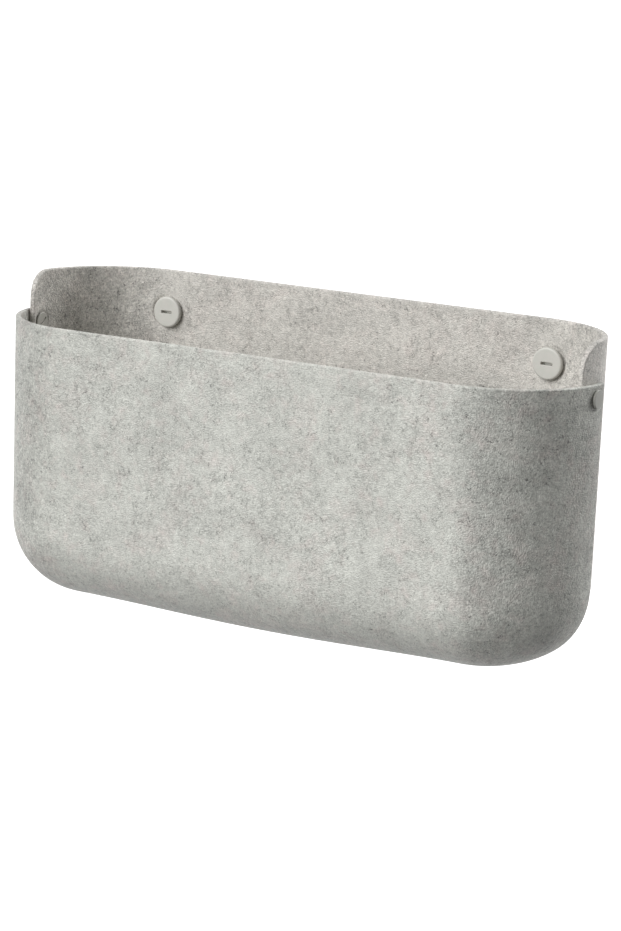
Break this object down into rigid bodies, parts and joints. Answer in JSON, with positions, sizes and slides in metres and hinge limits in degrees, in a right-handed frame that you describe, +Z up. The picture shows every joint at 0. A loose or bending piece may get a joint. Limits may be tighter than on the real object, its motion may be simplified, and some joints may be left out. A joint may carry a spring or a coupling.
{
  "type": "wall storage basket",
  "caption": "Oblong wall basket of pressed grey felt, open on top, with a tall back, a lapped riveted front and slotted quarter-turn hanging knobs.",
  "frame": {"origin": "on the wall plane, midway between the axes of the two wall screws", "axes": "+Z up, -Y out of the wall to the user, +X to the user's right along the basket"},
  "size_m": [0.4948, 0.1848, 0.241],
  "materials": {
    "felt": "pressed melange felt, light warm grey with fine dark fibres, fully matt",
    "fitting_plastic": "moulded light grey plastic, satin",
    "zinc_steel": "zinc plated"
  },
  "bodies": {
    "basket": {"back_panel": "felt", "front_shell": "felt", "left_wall_socket": "fitting_plastic", "right_wall_socket": "fitting_plastic", "left_wall_screw": "zinc_steel", "right_wall_screw": "zinc_steel", "left_rivet_post": "fitting_plastic", "right_rivet_post": "fitting_plastic", "left_rivet_screw": "fitting_plastic", "right_rivet_screw": "fitting_plastic"},
    "left_knob": {"left_knob": "fitting_plastic"},
    "right_knob": {"right_knob": "fitting_plastic"}
  },
  "joints": [
    {"name": "left_knob_turn", "type": "hinge", "parent": "basket", "child": "left_knob", "pos_m": [-0.168, 0, 0], "axis": [0, -1, 0], "range_deg": [0, 90]},
    {"name": "right_knob_turn", "type": "hinge", "parent": "basket", "child": "right_knob", "pos_m": [0.168, 0, 0], "axis": [0, -1, 0], "range_deg": [0, 90]}
  ]
}
